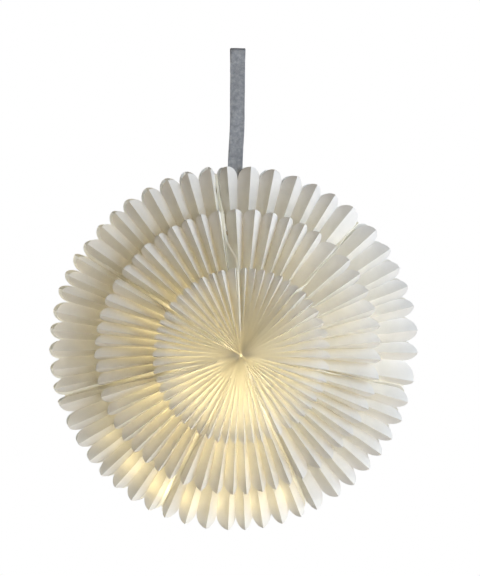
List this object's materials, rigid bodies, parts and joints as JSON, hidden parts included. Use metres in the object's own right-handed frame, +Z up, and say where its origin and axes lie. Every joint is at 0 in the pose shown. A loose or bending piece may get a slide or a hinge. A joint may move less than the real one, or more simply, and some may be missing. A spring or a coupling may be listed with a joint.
{
  "type": "accordion paper lantern",
  "caption": "Round pleated paper lantern of stacked scalloped rosettes that folds like an accordion, lit by a bulb and hung from a fabric strap.",
  "frame": {"origin": "middle of the hanging loop's eye, above the lantern", "axes": "+Z up, +X to the right as seen from the front, the front faces -Y and the lantern's axis runs along Y"},
  "size_m": [0.5998, 0.168, 0.7867],
  "materials": {
    "paper": "matte",
    "card": "matte",
    "strap": "brushed cotton",
    "dots": "hook and loop",
    "wood": "plain",
    "steel": "brushed",
    "holder": "moulded",
    "bulb": "frosted",
    "bulb_metal": "plain"
  },
  "bodies": {
    "strap_top": {"strap_upper": "strap"},
    "lantern": {"strap_lower": "strap", "hanging_pin": "wood", "lamp_bracket": "steel", "lampholder": "holder", "centre_discs": "card", "end_cover_fixed": "card", "closing_dots_fixed": "dots", "seam_rib_1": "card", "fan_front_small_1": "paper", "fan_rear_small_1": "paper", "fan_front_medium_1": "paper", "fan_rear_medium_1": "paper", "fan_front_outer_1": "paper", "fan_rear_outer_1": "paper"},
    "bulb": {"bulb_glass": "bulb", "bulb_base": "bulb_metal"},
    "segment_2": {"seam_rib_2": "card", "fan_front_small_2": "paper", "fan_rear_small_2": "paper", "fan_front_medium_2": "paper", "fan_rear_medium_2": "paper", "fan_front_outer_2": "paper", "fan_rear_outer_2": "paper"},
    "segment_3": {"seam_rib_3": "card", "fan_front_small_3": "paper", "fan_rear_small_3": "paper", "fan_front_medium_3": "paper", "fan_rear_medium_3": "paper", "fan_front_outer_3": "paper", "fan_rear_outer_3": "paper"},
    "segment_4": {"seam_rib_4": "card", "fan_front_small_4": "paper", "fan_rear_small_4": "paper", "fan_front_medium_4": "paper", "fan_rear_medium_4": "paper", "fan_front_outer_4": "paper", "fan_rear_outer_4": "paper"},
    "segment_5": {"seam_rib_5": "card", "fan_front_small_5": "paper", "fan_rear_small_5": "paper", "fan_front_medium_5": "paper", "fan_rear_medium_5": "paper", "fan_front_outer_5": "paper", "fan_rear_outer_5": "paper"},
    "segment_6": {"seam_rib_6": "card", "fan_front_small_6": "paper", "fan_rear_small_6": "paper", "fan_front_medium_6": "paper", "fan_rear_medium_6": "paper", "fan_front_outer_6": "paper", "fan_rear_outer_6": "paper"},
    "segment_7": {"end_cover_moving": "card", "closing_dots_moving": "dots", "fan_front_small_7": "paper", "fan_rear_small_7": "paper", "fan_front_medium_7": "paper", "fan_rear_medium_7": "paper", "fan_front_outer_7": "paper", "fan_rear_outer_7": "paper"}
  },
  "joints": [
    {"name": "hang_turn", "type": "hinge", "parent": "strap_top", "child": "lantern", "pos_m": [0.0045, 0, -0.167], "axis": [0, 0, 1], "range_deg": [-90, 90], "stiffness_Nm_per_rad": 0.02},
    {"name": "bulb_turn", "type": "hinge", "parent": "lantern", "child": "bulb", "pos_m": [0, 0, -0.522], "axis": [0, 0, 1], "continuous": true},
    {"name": "fold_2", "type": "hinge", "parent": "lantern", "child": "segment_2", "pos_m": [0, 0, -0.482], "axis": [0, -1, 0], "range_deg": [0, 55], "deforming": ["fan_front_small_2", "fan_rear_small_2", "fan_front_medium_2", "fan_rear_medium_2", "fan_front_outer_2", "fan_rear_outer_2"]},
    {"name": "fold_3", "type": "hinge", "parent": "segment_2", "child": "segment_3", "pos_m": [0, 0, -0.482], "axis": [0, -1, 0], "range_deg": [0, 48], "deforming": ["fan_front_small_3", "fan_rear_small_3", "fan_front_medium_3", "fan_rear_medium_3", "fan_front_outer_3", "fan_rear_outer_3"]},
    {"name": "fold_4", "type": "hinge", "parent": "segment_3", "child": "segment_4", "pos_m": [0, 0, -0.482], "axis": [0, -1, 0], "range_deg": [0, 45.8], "deforming": ["fan_front_small_4", "fan_rear_small_4", "fan_front_medium_4", "fan_rear_medium_4", "fan_front_outer_4", "fan_rear_outer_4"]},
    {"name": "fold_5", "type": "hinge", "parent": "segment_4", "child": "segment_5", "pos_m": [0, 0, -0.482], "axis": [0, -1, 0], "range_deg": [0, 46.2], "deforming": ["fan_front_small_5", "fan_rear_small_5", "fan_front_medium_5", "fan_rear_medium_5", "fan_front_outer_5", "fan_rear_outer_5"]},
    {"name": "fold_6", "type": "hinge", "parent": "segment_5", "child": "segment_6", "pos_m": [0, 0, -0.482], "axis": [0, -1, 0], "range_deg": [0, 43], "deforming": ["fan_front_small_6", "fan_rear_small_6", "fan_front_medium_6", "fan_rear_medium_6", "fan_front_outer_6", "fan_rear_outer_6"]},
    {"name": "fold_7", "type": "hinge", "parent": "segment_6", "child": "segment_7", "pos_m": [0, 0, -0.482], "axis": [0, -1, 0], "range_deg": [0, 46.5], "deforming": ["fan_front_small_7", "fan_rear_small_7", "fan_front_medium_7", "fan_rear_medium_7", "fan_front_outer_7", "fan_rear_outer_7"]}
  ],
  "couplings": [
    {"joint": "fold_3", "follows": "fold_2", "ratio": 0.8727},
    {"joint": "fold_4", "follows": "fold_2", "ratio": 0.8327},
    {"joint": "fold_5", "follows": "fold_2", "ratio": 0.84},
    {"joint": "fold_6", "follows": "fold_2", "ratio": 0.7818},
    {"joint": "fold_7", "follows": "fold_2", "ratio": 0.8454}
  ]
}
